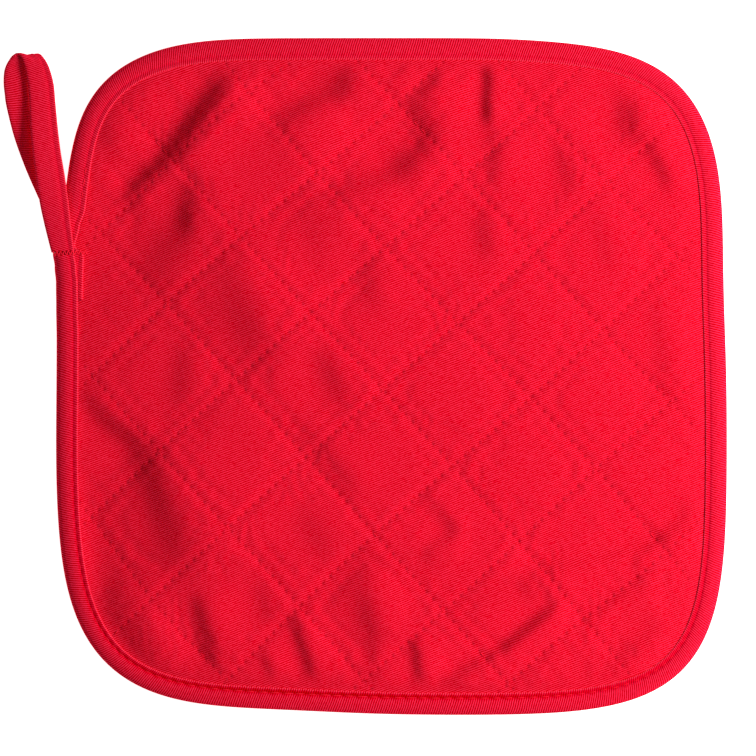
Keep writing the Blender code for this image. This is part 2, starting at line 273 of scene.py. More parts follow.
def mesh_object(name, points, faces):
    """A smooth-shaded mesh object from points in millimetres."""
    mesh = bpy.data.meshes.new(name)
    mesh.from_pydata((points * MM).tolist(), [], faces.tolist())
    mesh.validate()
    mesh.shade_smooth()
    made = bpy.data.objects.new(name, mesh)
    bpy.context.scene.collection.objects.link(made)
    return made


print("spots on the pad's border:", len(grid_border(COARSE_CELLS)))

# %% [markdown]
# ## Filling the pad
# Between the seams the filling pushes the cloth up, and the cloth is a little too wide for the
# flat diamond, so it crinkles near the stitches. A formula could bulge each diamond, but they
# would all look alike. Blender's Cloth makes this as the real pad does: both sheets are held at
# the seams and the rim, and blown up from inside. Well-used padding is nearly flat, so the rise
# is eased to a small cap. The underside lies pressed on the table, so only the face keeps it.

# %% Blow up the pad between its seams
FACE_LOW = 5.1
UNDER_LOW = 0.5
RIM_MIDDLE = 2.4
RIM_SLOPE = 4.5
RIM_HALF = 0.6
HELD_INSET = 6.5
SEWN_REACH = 1.5
LAST_FRAME = 20
CLOTH_SETTINGS = {
    "quality": 4,
    "mass": 0.25,
    "tension_stiffness": 8.0,
    "compression_stiffness": 8.0,
    "bending_stiffness": 0.05,
    "shrink_min": -0.004,
    "vertex_group_mass": "sewn",
    "use_pressure": True,
    "uniform_pressure_force": 0.3,
}


def blown_up(cells, spots):
    """How far the cloth of the face rises at each spot between the seams."""
    edge = inset_of(spots)
    rim = np.clip((edge - RIM_INSET) / RIM_SLOPE, 0.0, 1.0)
    face = RIM_MIDDLE + RIM_HALF + (FACE_LOW - RIM_MIDDLE - RIM_HALF) * rim
    under = RIM_MIDDLE - RIM_HALF + (UNDER_LOW - RIM_MIDDLE + RIM_HALF) * rim
    points, faces = closed_pad(cells, spots, face, under)
    filling = mesh_object("filling", points, faces)
    sewn = ((nearest_gap(spots) < SEWN_REACH) | (edge < HELD_INSET)).ravel()
    group = filling.vertex_groups.new(name="sewn")
    group.add(np.flatnonzero(np.concatenate([sewn, sewn])).tolist(), 1.0, "REPLACE")
    cloth = filling.modifiers.new("Cloth", "CLOTH")
    for setting, value in CLOTH_SETTINGS.items():
        setattr(cloth.settings, setting, value)
    cloth.settings.effector_weights.gravity = 0.0
    cloth.point_cache.frame_start, cloth.point_cache.frame_end = 1, LAST_FRAME
    for number in range(1, LAST_FRAME + 1):
        bpy.context.scene.frame_set(number)
    graph = bpy.context.evaluated_depsgraph_get()
    moved = filling.evaluated_get(graph).to_mesh()
    found = np.zeros(len(points) * 3)
    moved.vertices.foreach_get("co", found)
    rise = (found.reshape(-1, 3) / MM - points)[: spots[..., 0].size, 2]
    bpy.context.scene.frame_set(1)
    bpy.data.objects.remove(filling, do_unlink=True)
    return rise.reshape(spots.shape[:2])


cloth_rise = blown_up(COARSE_CELLS, coarse_spots)
print("cloth rose by up to mm:", round(float(cloth_rise.max()), 2))

# %% Cap the rise and make its grid finer
CAP_RISE = 0.25
FINE_TIMES = 2


def finer(grid, times):
    """A grid of heights whose cells are halved the given times, with a soft curve between."""
    for _ in range(times):
        for axis in (0, 1):
            grid = np.moveaxis(grid, axis, 0)
            wide = np.concatenate([2 * grid[:1] - grid[1:2], grid, 2 * grid[-1:] - grid[-2:-1]])
            middle = (9 * (wide[1:-2] + wide[2:-1]) - wide[:-3] - wide[3:]) / 16
            made = np.zeros((2 * len(grid) - 1, *grid.shape[1:]))
            made[::2], made[1::2] = grid, middle
            grid = np.moveaxis(made, 0, axis)
    return grid


face_rise = finer(CAP_RISE * np.tanh(np.clip(cloth_rise, 0, None) / CAP_RISE), FINE_TIMES)
print("rise kept, up to mm:", round(float(face_rise.max()), 2), "on", face_rise.size, "spots")

# %% [markdown]
# ## Creases
# The cloth has been washed and folded, and its main creases are what the eye sees first. Noise
# would put them anywhere, so each one is listed in a table. A crease is a soft step: the cloth
# climbs across a line, and settles again further off. Light from the right leaves the climbing
# side dark. A row gives the line, how wide the climb is, and how high. The last row is the broad
# slope down to the left side.

# %% Table of creases
Crease = namedtuple("Crease", "start_x start_y end_x end_y half_width rise")
CREASES = (
    Crease(-42, 89, -50, 78, 3.5, 4.0),
    Crease(-50, 78, -59, 66, 3.2, 3.8),
    Crease(-59, 66, -72, 54, 2.4, 2.6),
    Crease(-53, 58, -54, 43, 3.2, 2.3),
    Crease(-54, 43, -65, 31, 6.5, 3.8),
    Crease(-45, 38, -31, 4, 6.5, 3.1),
    Crease(-14, 7, -5, -9, 3.8, 1.6),
    Crease(-19, -15, -3, -34, 2.6, 0.8),
    Crease(-85, -8, -67, -21, 2.8, 2.0),
    Crease(-67, -21, -61, -40, 4.8, 2.8),
    Crease(-61, -40, -54, -57, 6.6, 4.1),
    Crease(-54, 12, -56, -8, 3.4, 1.1),
    Crease(-80, -67, -64, -88, 5.6, 3.1),
    Crease(-80, -31, -75, -67, 5.5, 1.6),
    Crease(-51, -66, -45.5, -86, 2.7, 2.0),
    Crease(-31, -83, -28, -90, 1.5, 0.8),
    Crease(-22, -72, -16, -90, 1.9, 1.4),
    Crease(-1, -64, 2, -81, 3.4, 1.6),
    Crease(2, -57, -10, -66, 3.4, 1.4),
    Crease(2, -81, 2, -91, 1.6, 0.4),
    Crease(14, -79, 16, -91, 1.7, 1.2),
    Crease(25, -90, 40, -82, 1.8, 1.6),
    Crease(40, -82, 57, -68, 1.8, 1.9),
    Crease(47, -59, 86, -51, 2.4, 1.8),
    Crease(86, -51, 97, -43, 2.2, 1.5),
    Crease(64, -70, 84, -62, 3.0, 1.6),
    Crease(73, -85, 88, -77, 3.4, 2.2),
    Crease(47, -88, 55, -84, 2.0, 0.7),
    Crease(-28, 76, -11, 84, 3.4, 2.3),
    Crease(-8, 82, -6, 93, 3.2, 2.1),
    Crease(7, 89, 12, 93, 1.6, 0.9),
    Crease(13, 82, 20, 72, 3.6, 1.6),
    Crease(20, 72, 9, 60, 3.6, 2.2),
    Crease(9, 60, -11, 55, 3.4, 2.0),
    Crease(16, 83, 22, 91, 2.2, 1.0),
    Crease(27, 88, 30, 91, 1.4, 0.5),
    Crease(36, 93, 36, 76, 1.8, 1.8),
    Crease(38, 74, 38, 58, 2.6, 1.0),
    Crease(34, 50, 36, 36, 3.0, 1.1),
    Crease(77, 84, 80, 69, 4.0, 2.7),
    Crease(84, 70, 91, 56, 2.4, 1.5),
    Crease(57, 71, 62, 55, 3.4, 1.4),
    Crease(68, 49, 73, 32, 3.0, 0.6),
    Crease(86, 22, 91, -7, 3.0, 0.7),
    Crease(-19, 50, -12, 32, 4.0, 0.9),
    Crease(-1, 38, 2, 21, 4.0, 1.3),
    Crease(-19, -40, -11, -55, 4.0, 1.0),
    Crease(17, -35, 27, -47, 1.8, 0.6),
    Crease(27, -47, 17, -52, 1.8, 0.8),
    Crease(-32, -62, -28, -74, 2.6, 0.7),
    Crease(-80, 74, -76, 67, 2.4, 0.6),
    Crease(-66, 62, -66, -62, 15.0, 1.5),
)
LIGHT_SIDE = np.array((1.0, 0.06))
CREASE_SETTLE = 3.2
CREASE_SPREAD = 1.2
CREASE_LIFT = 1.35


def crease_heights(spots):
    """Heights that the creases add at each spot."""
    total = np.zeros(spots.shape[:-1])
    for crease in CREASES:
        start, run, length, side = straight_line(crease)
        side = side * math.copysign(1.0, side @ LIGHT_SIDE)
        width = crease.half_width * CREASE_SPREAD
        along = ((spots - start) @ run) / (length * width)
        across = ((spots - start) @ side) / width
        step = np.tanh(across) * bell(across, CREASE_SETTLE)
        within = (1.0 + np.tanh(along)) * (1.0 + np.tanh(length / width - along)) / 4.0
        total += 0.5 * CREASE_LIFT * crease.rise * step * within
    return total


print("creases:", len(CREASES), "highest in mm:", max(crease.rise for crease in CREASES))

# %% [markdown]
# ## The pad
# The seams pull the cloth down into narrow channels, deepest at each needle hole, and the creases
# are laid over it. Sculpting could do this too, but formulas on a grid keep every size in
# millimetres. The cloth dips to go under the tape, and its hidden rim is rounded. The underside
# rests flat on the table in the middle of each diamond.

# %% Levels near the tape and at the rim
TAPE_WIDTH = 6.9
SHOULDER_LOW = 4.55
SHOULDER_REACH = 3.2
UNDER_SHOULDER = 0.75
UNDER_REACH = 2.0
RIM_ROUND = 1.6
RIM_OPEN = 0.3


def settled(spots, height, shoulder, reach):
    """The height over each spot, eased to the shoulder's level beside the tape."""
    past = np.clip(inset_of(spots) - TAPE_WIDTH, 0.0, None)
    return shoulder + (height - shoulder) * (1.0 - np.exp(-past / reach))


def rounded_rim(spots, height, rim_level):
    """The height over each spot, rounded to the rim's level at the border."""
    share = np.clip((inset_of(spots) - RIM_INSET) / RIM_ROUND, 0.0, 1.0)
    return rim_level + (height - rim_level) * np.sqrt(share * (2.0 - share))


# %% Shape the pad
STITCH = 3.0
CHANNEL_DEPTH = 0.08
CHANNEL_WIDTH = 1.2
PUFF = 0.1
PUFF_REACH = 5.0
UNDER_CHANNEL = 0.7
UNDER_CHANNEL_WIDTH = 2.2


def face_height(spots, rise):
    """Height of the pad's face over each spot."""
    height = FACE_LOW + rise + crease_heights(spots)
    puff = np.ones(spots.shape[:-1])
    for seams in (FALLING_SEAMS, RISING_SEAMS):
        _, way, gap = nearest_seam(spots, seams)
        puff = puff * (1.0 - np.exp(-((np.abs(gap) / PUFF_REACH) ** 1.3)))
        tug = 0.75 + 0.25 * np.cos(2.0 * math.pi * way / STITCH)
        height = height - CHANNEL_DEPTH * tug * bell(gap, CHANNEL_WIDTH)
    height = settled(spots, height + PUFF * puff**0.6, SHOULDER_LOW, SHOULDER_REACH)
    return rounded_rim(spots, height, RIM_MIDDLE + RIM_OPEN)


def under_height(spots):
    """Height of the pad's underside over each spot."""
    height = UNDER_CHANNEL * bell(nearest_gap(spots), UNDER_CHANNEL_WIDTH)
    height = settled(spots, height, UNDER_SHOULDER, UNDER_REACH)
    return rounded_rim(spots, height, RIM_MIDDLE - RIM_OPEN)


fine_cells = COARSE_CELLS * 2**FINE_TIMES
fine_spots = grid_spots(fine_cells)
pad_face = face_height(fine_spots, face_rise)
pad_points, pad_faces = closed_pad(fine_cells, fine_spots, pad_face, under_height(fine_spots))
pad = mesh_object("pad_cloth", pad_points, pad_faces)
print("pad faces:", len(pad_faces), "top in mm:", round(float(pad_points[:, 2].max()), 2))

# %% [markdown]
# ## Seams on the pad's surface
# The stitches' dimples are too fine for the mesh, so the material draws them as bump and painted
# shade. Object coordinates could serve, but each seam bows its own way. So each corner of each face
# keeps the way along its nearest seam and the distance from it, in one UV map for the falling seams
# and one for the rising seams. The nearest seam is chosen face by face, so that no face reaches from
# one seam to the next.

# %% Store the seam maps
MAP_SCALE = 0.1


def add_seam_map(thing, points, faces, seams, name):
    """A UV map with the way along the nearest seam and the distance from it."""
    middle = points[faces].mean(1)[:, :2]
    nearest = nearest_seam(middle, seams)[0]
    corner_spots = points[faces][:, :, :2]
    values = np.zeros((len(faces), 4, 2))
    for number, seam in enumerate(seams):
        mine = nearest == number
        way, gap = beside_seam(seam, corner_spots[mine])
        values[mine] = np.stack([way, gap], -1)
    layer = thing.data.uv_layers.new(name=name)
    layer.data.foreach_set("uv", (values * MAP_SCALE).ravel())


add_seam_map(pad, pad_points, pad_faces, FALLING_SEAMS, "falling")
add_seam_map(pad, pad_points, pad_faces, RISING_SEAMS, "rising")
print("UV maps on the pad:", [layer.name for layer in pad.data.uv_layers])

# %% [markdown]
# ## The edge tape
# One ribbed tape is folded over the rim and sewn through near its inner edge. A bevelled curve
# could give its shape, but wouldn't know where a stitch or a rib falls. So its section is swept
# along the way round the edge, and each point keeps its distance in from the fold. The stitches
# pull the tape down in a groove with small scallops beside it, deeper along the bottom edge,
# where the thread was drawn tighter. At the join the tape's end laps over its beginning, so two
# short tables lift both there and shift them outwards.

# %% Levels of the tape along the edge
EDGE_TOP = 4.8
OVERLAP = 14.0
Lap = namedtuple("Lap", "way bottom top shift")
TAPE_START = (
    Lap(-14.0, 1.3, 5.3, -1.3),
    Lap(-0.5, 1.3, 5.3, -1.3),
    Lap(2.5, 1.8, 5.6, 1.5),
    Lap(8.0, 2.0, 5.8, 0.7),
    Lap(14.0, 2.0, 5.8, -0.4),
    Lap(30.0, 0.0, EDGE_TOP, 0.0),
)
TAPE_END = (
    Lap(0.0, 0.0, 7.6, 1.3),
    Lap(4.0, 0.0, 7.3, 0.6),
    Lap(9.0, 0.0, 6.9, 0.1),
    Lap(15.5, 0.0, 6.6, 0.0),
    Lap(26.0, 0.0, EDGE_TOP, 0.0),
)


def laps_at(table, ways):
    """Bottom, top and outward shift, eased between the rows of a table."""
    rows = np.array(table)
    index = np.clip(np.searchsorted(rows[:, 0], ways) - 1, 0, len(rows) - 2)
    low, high = rows[index], rows[index + 1]
    share = np.clip((ways - low[:, 0]) / (high[:, 0] - low[:, 0]), 0.0, 1.0)
    share = share * share * (3.0 - 2.0 * share)
    return low[:, 1:] + (high[:, 1:] - low[:, 1:]) * share[:, None]


def tape_levels(ways):
    """Bottom, top and outward shift of the tape at each way, at the join too."""
    left = EDGE_LENGTH - ways
    at_end = (left < TAPE_END[-1].way)[:, None]
    return np.where(at_end, laps_at(TAPE_END, left), laps_at(TAPE_START, ways))


print("tape length in mm:", round(EDGE_LENGTH + OVERLAP, 1))

# %% Relief of the tape's face
EDGE_STITCH = 3.7
Ridge = namedtuple("Ridge", "inset height half_width")
GROOVE = Ridge(5.35, -0.1, 0.33)
SCALLOP = Ridge(4.75, 0.1, 0.4)
SELVAGE = Ridge(6.65, 0.08, 0.22)
CROWN = Ridge(3.3, 0.18, 1.3)
TIGHTER = 2.0
TIGHT_WAY = 524.0
TIGHT_REACH = 110.0
ROUNDED_WIDTH = 0.35
ROUNDED_DROP = 0.35


def tape_relief(inset, way):
    """How far the tape's face stands above or below its flat level."""

    def ridge(shape):
        return shape.height * bell(inset - shape.inset, shape.half_width)

    tug = np.cos(2.0 * math.pi * way / EDGE_STITCH)
    deeper = 1.0 + TIGHTER * bell(way - TIGHT_WAY, TIGHT_REACH)
    sewn_down = ridge(GROOVE) * deeper * (0.8 - 0.2 * tug) + ridge(SCALLOP) * (0.5 + 0.5 * tug)
    past = np.clip((inset - TAPE_WIDTH) / ROUNDED_WIDTH + 1.0, 0.0, 1.0)
    return sewn_down + ridge(SELVAGE) + ridge(CROWN) - ROUNDED_DROP * past**2


# %% Section of the tape
TAPE_THICK = 0.75
TAPE_FOLD = 2.3
FACE_INSETS = (6.9, 6.84, 6.65, 6.4, 6.1, 5.8, 5.6, 5.45, 5.35, 5.25, 5.1, 4.85, 4.4, 3.7, 2.9)
FOLD_DEGREES = (90, 75, 60, 45, 30, 15)


def tape_half(ways, bottom, top, shift, upwards):
    """The upper or lower half of the tape, outside and inside, as distances and their rings."""
    place, _, inwards = edge_place(ways)
    half = (top - bottom) / 2.0
    outside, inside = [], []

    def ring(inset, rise):
        flat = place + inwards * (inset - shift)[:, None]
        return np.column_stack([flat, bottom + half + upwards * rise])

    for inset in FACE_INSETS:
        level = half + tape_relief(inset, ways)
        outside.append((inset, ring(inset, level)))
        inside.append((inset, ring(inset, np.minimum(level, half) - TAPE_THICK)))
    for degrees in FOLD_DEGREES:
        reach = 1.0 - math.cos(math.radians(degrees))
        rise = math.sin(math.radians(degrees))
        inset = TAPE_FOLD * reach
        deep = TAPE_THICK + (TAPE_FOLD - TAPE_THICK) * reach
        outside.append((inset, ring(inset, half * rise)))
        inside.append((inset, ring(deep, (half - TAPE_THICK) * rise)))
    return outside, inside


# %% Sweep a section along a way


def sweep(name, rings, coordinates, ways):
    """A closed tube through rings, each of them one point for each step of the way."""
    count, steps = len(rings), len(ways)
    points = np.stack(rings, 1).reshape(-1, 3)
    number = np.arange(steps * count).reshape(steps, count)
    after = np.roll(number, -1, axis=1)
    faces = np.stack([number[:-1], after[:-1], after[1:], number[1:]], -1).reshape(-1, 4)
    across = np.stack([coordinates, np.roll(coordinates, -1)], 1)
    across[-1, 1] = across[-1, 0]
    values = np.zeros((steps - 1, count, 4, 2))
    values[..., 0, 0] = values[..., 1, 0] = ways[:-1, None]
    values[..., 2, 0] = values[..., 3, 0] = ways[1:, None]
    values[..., 0, 1] = values[..., 3, 1] = across[:, 0]
    values[..., 1, 1] = values[..., 2, 1] = across[:, 1]
    low = np.arange(count // 2 - 1)
    cap = np.stack([low, low + 1, count - 2 - low, count - 1 - low], 1)
    faces = np.concatenate([faces, cap[:, ::-1], cap + (steps - 1) * count])
    values = np.concatenate([values.reshape(-1, 4, 2), np.zeros((2 * len(cap), 4, 2))])
    made = mesh_object(name, points, faces)
    layer = made.data.uv_layers.new(name="tape")
    layer.data.foreach_set("uv", (values * MAP_SCALE).ravel())
    return made


# %% Sweep the tape round the pad
EDGE_STEP = EDGE_STITCH / 5.0
tape_ways = np.linspace(-OVERLAP, EDGE_LENGTH, int((EDGE_LENGTH + OVERLAP) / EDGE_STEP) + 1)
bottom, top, shift = tape_levels(tape_ways).T
upper_out, upper_in = tape_half(tape_ways, bottom, top, shift, 1.0)
lower_out, lower_in = tape_half(tape_ways, bottom, top, shift, -1.0)
outer = [*upper_out, *reversed(lower_out)]
inner = [*upper_in, *reversed(lower_in)]
section = [*outer, *reversed(inner)]
tape = sweep(
    "edge_tape",
    [ring for _, ring in section],
    np.array([inset for inset, _ in section]),
    tape_ways,
)
print("tape rings:", len(section), "steps:", len(tape_ways))

# %% [markdown]
# ## The hanging loop
# The same tape, folded shut and sewn along its open side, stands off the corner. It goes up as
# the front leg, turns over at the top with a small dent in the fold, and comes back beneath. A
# cloth simulation could hang it, but it would settle where it likes. So a smooth curve is drawn
# through a few stations, each with its width and the turns of its width, and the section
# follows it.

# %% Stations of the loop
FOOT_HEIGHT = 7.0
Station = namedtuple("Station", "x y height width yaw bank")
LOOP_STATIONS = (
    Station(-91.9, 45.5, 7.00, 8.4, -12, 1),
    Station(-92.85, 51.5, 6.90, 9.1, -13, 2),
    Station(-94.3, 60.5, 5.70, 9.0, -10, 5),
    Station(-95.6, 68.0, 4.35, 8.6, -8, 6),
    Station(-96.5, 75.5, 3.25, 8.2, -5, 6),
    Station(-97.1, 83.0, 2.65, 7.8, -4, 6),
    Station(-97.6, 88.2, 2.50, 7.8, -5, 6),
    Station(-98.7, 92.8, 2.50, 7.7, -8, 5),
    Station(-99.9, 95.4, 2.40, 7.4, -8, 8),
    Station(-101.7, 96.5, 2.05, 7.3, 0, 10),
    Station(-103.6, 95.6, 1.45, 7.2, 8, 7),
    Station(-105.0, 92.6, 1.25, 7.2, 6, 5),
    Station(-105.2, 88.5, 1.30, 7.4, 0, 5),
    Station(-104.9, 84.5, 1.30, 7.4, -6, 5),
    Station(-104.4, 80.0, 1.25, 7.3, -12, 5),
    Station(-102.3, 71.0, 1.15, 7.2, -16, 4),
    Station(-99.3, 62.0, 1.00, 7.0, -19, 3),
    Station(-95.8, 53.5, 0.86, 6.6, -19, 1),
    Station(-92.4, 46.0, 0.86, 6.2, -18, 0),
    Station(-91.1, 42.6, 0.86, 6.0, -16, 0),
)
LOOP_SUBSTEPS = 9


def smooth_stations(table, substeps):
    """Rows on a smooth curve through a table's rows."""
    rows = np.array(table, float)
    padded = np.concatenate([[2 * rows[0] - rows[1]], rows, [2 * rows[-1] - rows[-2]]])
    made = []
    for before, here, there, beyond in zip(padded, padded[1:], padded[2:], padded[3:]):
        bend = 2 * before - 5 * here + 4 * there - beyond
        swing = 3 * here - before - 3 * there + beyond
        for step in range(substeps):
            t = step / substeps
            made.append(here + 0.5 * ((there - before) * t + bend * t**2 + swing * t**3))
    return np.array([*made, rows[-1]])


print("stations of the loop:", len(LOOP_STATIONS))

# %% Section of the loop, seen along the tape
LOOP_THICK = 1.3
LOOP_LAYER = 0.6
LOOP_PART = 0.04
TOP_DENT = 0.6
TOP_DENT_REACH = 2.5
TOP_DENT_SHARE = 0.3
Spot = namedtuple("Spot", "side up in_from_fold")
LOOP_SECTION = (
    Spot(1.0, 0.62, 6.9),
    Spot(0.99, 0.8, 6.8),
    Spot(0.95, 0.9, 6.65),
    Spot(0.86, 0.88, 6.35),
    Spot(0.74, 0.82, 5.95),
    Spot(0.66, 0.76, 5.6),
    Spot(0.6, 0.7, 5.35),
    Spot(0.54, 0.77, 5.1),
    Spot(0.44, 0.9, 4.7),
    Spot(0.25, 0.98, 4.05),
    Spot(0.0, 1.0, 3.15),
    Spot(-0.3, 1.0, 2.1),
    Spot(-0.6, 0.98, 1.2),
    Spot(-0.82, 0.88, 0.6),
    Spot(-0.94, 0.66, 0.3),
    Spot(-0.99, 0.35, 0.1),
    Spot(-1.0, 0.0, 0.0),
)


def loop_rings(stations):
    """Rings of points of the loop, one for each spot of the section, and its ways."""
    centre = stations[:, :3]
    along = np.gradient(centre, axis=0)
    along /= np.linalg.norm(along, axis=1)[:, None]
    yaw, bank = np.radians(stations[:, 4]), np.radians(stations[:, 5])
    across = np.column_stack([np.cos(yaw) * np.cos(bank), np.sin(yaw) * np.cos(bank), -np.sin(bank)])
    upwards = np.cross(across, along)
    upwards /= np.linalg.norm(upwards, axis=1)[:, None]
    ways = np.concatenate([[0.0], np.cumsum(np.linalg.norm(np.diff(centre, axis=0), axis=1))])
    lower = [Spot(spot.side, -spot.up, spot.in_from_fold) for spot in reversed(LOOP_SECTION[:-1])]
    spots = [*LOOP_SECTION, *lower]
    side = stations[:, 3:4] / 2.0
    past_top = ways - ways[centre[:, 1].argmax()]
    dent = TOP_DENT * bell(past_top, TOP_DENT_REACH)[:, None]
    outside, inside = [], []
    for spot in spots:
        middle = centre - upwards * dent * bell(spot.side, TOP_DENT_SHARE)
        up = spot.up * LOOP_THICK / 2.0
        outside.append(middle + across * side * spot.side + upwards * up)
        up = math.copysign(max(LOOP_PART, abs(up) - LOOP_LAYER), up)
        fold = np.maximum(side * spot.side, LOOP_LAYER - side)
        inside.append(middle + across * fold + upwards * up)
    insets = [spot.in_from_fold for spot in spots]
    return [*outside, *reversed(inside)], np.array([*insets, *reversed(insets)]), ways


# %% Sweep the loop from the tape's end
tape_end, end_along, end_inwards = (part[0] for part in edge_place(np.array([EDGE_LENGTH])))
foot_at = tape_end + end_inwards * (TAPE_WIDTH / 2.0 - TAPE_END[0].shift) + end_along * LOOP_PART
foot_yaw = math.degrees(math.atan2(end_inwards[1], end_inwards[0]))
foot = Station(*foot_at, FOOT_HEIGHT, TAPE_WIDTH, foot_yaw, 0.0)
stations = smooth_stations((foot, *LOOP_STATIONS), LOOP_SUBSTEPS)
rings, insets, loop_ways = loop_rings(stations)
loop = sweep("loop_tape", rings, insets, EDGE_LENGTH + loop_ways)
print("loop length in mm:", round(float(loop_ways[-1]), 1))

# %% [markdown]
# ## Formulas made of nodes
# Stitches and materials are both made of nodes. Each Math node could be placed and linked by
# hand, but the formula would be lost among the links. So a small class wraps a node's output, and
# adding or multiplying two of them adds the Math node that does it. Every other node comes from
# one function, which sets what the node does before it fills its sockets.

# %% A value that can stand in a formula


class Value:
    """A node's output that can stand in a Python formula."""

    def __init__(self, tree, socket):
        self.tree = tree
        self.socket = socket

    def maths(self, operation, *values, clamp=False):
        settings = {"operation": operation, "use_clamp": clamp}
        made = add_node(self.tree, "ShaderNodeMath", settings, *values)
        return Value(self.tree, made.outputs[0])

    def __add__(self, other):
        return self.maths("ADD", self, other)

    def __sub__(self, other):
        return self.maths("SUBTRACT", self, other)

    def __rsub__(self, other):
        return self.maths("SUBTRACT", other, self)

    def __mul__(self, other):
        return self.maths("MULTIPLY", self, other)

    __radd__ = __add__
    __rmul__ = __mul__

    def cosine(self):
        return self.maths("COSINE", self)

    def bell(self, width):
        """1 where the value is 0, falling away softly over the width."""
        scaled = self * (1.0 / width)
        return self.maths("EXPONENT", scaled * scaled * -1.0)

    def clamped(self):
        """The value, held between 0 and 1."""
        return self.maths("ADD", self, 0.0, clamp=True)


def give(tree, socket, value):
    """Links a socket to a value, or sets its own number, colour or switch."""
    if isinstance(value, Value):
        tree.links.new(value.socket, socket)
    else:
        socket.default_value = value


def add_node(tree, kind, settings, *values, **named):
    """Adds a node: its settings first, then its sockets, in their order or by their names."""
    made = tree.nodes.new(kind)
    for setting, value in settings.items():
        setattr(made, setting, value)
    for socket, value in zip(made.inputs, values):
        give(tree, socket, value)
    for name, value in named.items():
        give(tree, made.inputs[name.replace("_", " ")], value)
    return made


# %% [markdown]
# ## Thread
# A stitch is a short thread that dips into the cloth at both ends. There are many hundreds, all
# alike. Placing a copy of one stitch on each spot would fit only stitches of one length, so each
# edge of a guide mesh becomes one curve instead. Geometry Nodes arch the curve and sweep a small
# round profile along it.

# %% Node tree for the stitches
STITCH_POINTS = 5
THREAD_SIDES = 6


def stitch_tree():
    """A tree that turns each edge of a guide mesh into one sewn stitch."""
    tree = bpy.data.node_groups.new("sewn_stitches", "GeometryNodeTree")
    face = tree.interface
    face.new_socket("Guide", in_out="INPUT", socket_type="NodeSocketGeometry")
    for name in ("Thread radius", "Arch", "Sink"):
        face.new_socket(name, in_out="INPUT", socket_type="NodeSocketFloat")
    face.new_socket("Thread", in_out="INPUT", socket_type="NodeSocketMaterial")
    face.new_socket("Stitches", in_out="OUTPUT", socket_type="NodeSocketGeometry")

    def node(kind, **named):
        return Value(tree, add_node(tree, kind, {}, **named).outputs[0])

    outputs = tree.nodes.new("NodeGroupInput").outputs
    given = {socket.name: Value(tree, socket) for socket in outputs}
    curve = node("GeometryNodeMeshToCurve", Mesh=given["Guide"])
    curve = node("GeometryNodeResampleCurve", Curve=curve, Count=STITCH_POINTS)
    share = node("GeometryNodeSplineParameter")
    from_top = 1.0 - share * (1.0 - share) * 4.0
    arched = 1.0 - from_top * from_top
    lift = arched * (given["Arch"] + given["Sink"]) - given["Sink"]
    offset = node("ShaderNodeCombineXYZ", Z=lift)
    curve = node("GeometryNodeSetPosition", Geometry=curve, Offset=offset)
    radius = given["Thread radius"]
    ring = node("GeometryNodeCurvePrimitiveCircle", Resolution=THREAD_SIDES, Radius=radius)
    tube = node("GeometryNodeCurveToMesh", Curve=curve, Profile_Curve=ring, Fill_Caps=True)
    smooth = node("GeometryNodeSetShadeSmooth", Geometry=tube)
    real = node("GeometryNodeRealizeInstances", Geometry=smooth)
    dyed = node("GeometryNodeSetMaterial", Geometry=real, Material=given["Thread"])
    add_node(tree, "NodeGroupOutput", {}, Stitches=dyed)
    return tree


STITCHES = stitch_tree()
print("nodes in the stitch tree:", len(STITCHES.nodes))
